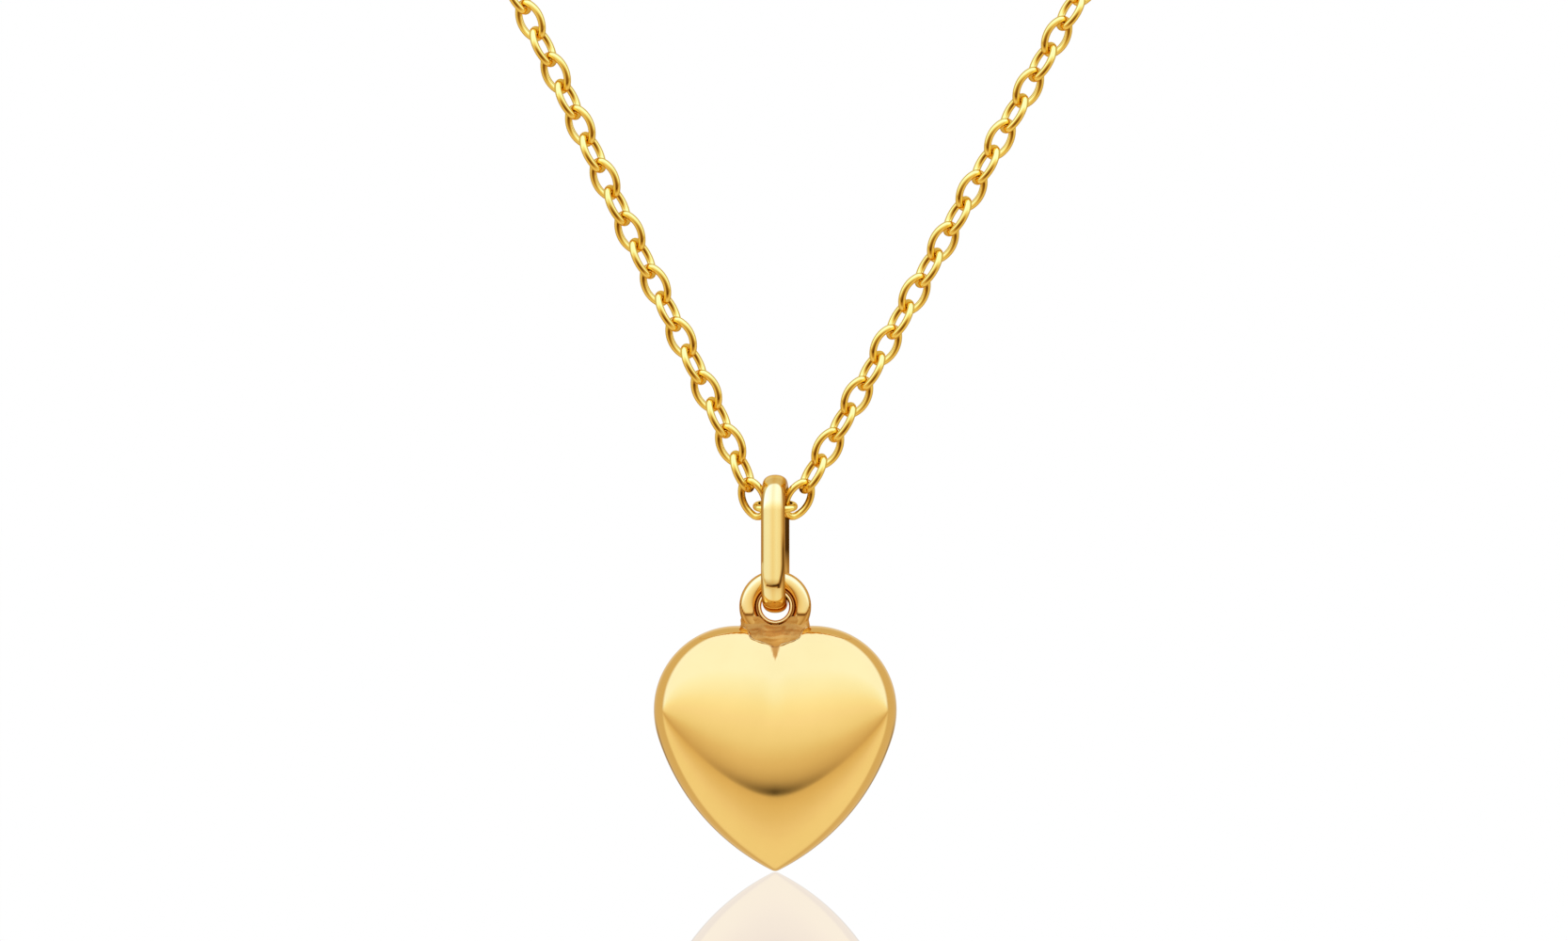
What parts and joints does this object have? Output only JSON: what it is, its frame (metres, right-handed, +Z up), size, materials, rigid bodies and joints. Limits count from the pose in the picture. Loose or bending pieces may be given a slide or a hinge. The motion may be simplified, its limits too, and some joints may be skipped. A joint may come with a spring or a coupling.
{
  "type": "pendant necklace",
  "caption": "Puffed heart pendant on an oval bail and a fine oval-link trace chain with a bolt ring clasp, draped as worn.",
  "frame": {"origin": "middle of the neck, at the height where the chain crosses its sides", "axes": "+X to the wearer's left, +Y towards the nape, +Z up"},
  "size_m": [0.1121, 0.1225, 0.1213],
  "materials": {
    "heart_gold": "high polish yellow gold",
    "fitting_gold": "polished yellow gold",
    "solder_gold": "soldered gold, slightly rough",
    "chain_gold": "polished yellow gold wire",
    "clasp_gold": "polished yellow gold",
    "spring_steel": "drawn wire"
  },
  "bodies": {
    "chain": {"chain_left_01": "chain_gold", "chain_left_02": "chain_gold", "chain_left_03": "chain_gold", "chain_left_04": "chain_gold", "chain_left_05": "chain_gold", "chain_left_06": "chain_gold", "chain_left_07": "chain_gold", "chain_left_08": "chain_gold", "chain_left_09": "chain_gold", "chain_left_10": "chain_gold", "chain_left_11": "chain_gold", "chain_left_12": "chain_gold", "chain_left_13": "chain_gold", "chain_left_14": "chain_gold", "chain_left_15": "chain_gold", "chain_left_16": "chain_gold", "chain_right_01": "chain_gold", "chain_right_02": "chain_gold", "chain_right_03": "chain_gold", "chain_right_04": "chain_gold", "chain_right_05": "chain_gold", "chain_right_06": "chain_gold", "chain_right_07": "chain_gold", "chain_right_08": "chain_gold", "chain_right_09": "chain_gold", "chain_right_10": "chain_gold", "chain_right_11": "chain_gold", "chain_right_12": "chain_gold", "chain_right_13": "chain_gold", "chain_right_14": "chain_gold", "chain_right_15": "chain_gold", "chain_right_16": "chain_gold", "centre_link": "chain_gold"},
    "bail": {"bail_ring": "fitting_gold"},
    "heart": {"heart_front_shell": "heart_gold", "heart_back_shell": "heart_gold", "hanging_loop": "fitting_gold", "loop_foot": "solder_gold", "loop_solder": "solder_gold"},
    "clasp_link": {"clasp_jump_ring": "clasp_gold"},
    "clasp": {"clasp_case": "clasp_gold", "clasp_eye": "clasp_gold", "clasp_spring": "spring_steel"},
    "bolt": {"clasp_bolt": "clasp_gold", "clasp_thumb_pin": "clasp_gold"},
    "end_link": {"end_jump_ring": "clasp_gold"}
  },
  "joints": [
    {"name": "bail_swing", "type": "hinge", "parent": "chain", "child": "bail", "pos_m": [0, -0.062, -0.08815], "axis": [0.9965, -0.0837, 0], "range_deg": [-55, 55]},
    {"name": "heart_sway", "type": "hinge", "parent": "bail", "child": "heart", "pos_m": [0, -0.062, -0.09256], "axis": [0, 1, 0], "range_deg": [-75, 75]},
    {"name": "clasp_link_roll", "type": "hinge", "parent": "chain", "child": "clasp_link", "pos_m": [-0.00418, 0.057, 0.014], "axis": [1, 0, 0], "range_deg": [-15, 15]},
    {"name": "clasp_roll", "type": "hinge", "parent": "clasp_link", "child": "clasp", "pos_m": [0, 0.057, 0.014], "axis": [1, 0, 0], "range_deg": [-20, 20]},
    {"name": "bolt_slide", "type": "hinge", "parent": "clasp", "child": "bolt", "pos_m": [0, 0.057, 0.014], "axis": [0, 1, 0], "range_deg": [0, 50], "stiffness_Nm_per_rad": 0.0036, "deforming": ["clasp_spring"]},
    {"name": "end_link_roll", "type": "hinge", "parent": "chain", "child": "end_link", "pos_m": [0.00236, 0.057, 0.014], "axis": [1, 0, 0], "range_deg": [-15, 15]}
  ]
}
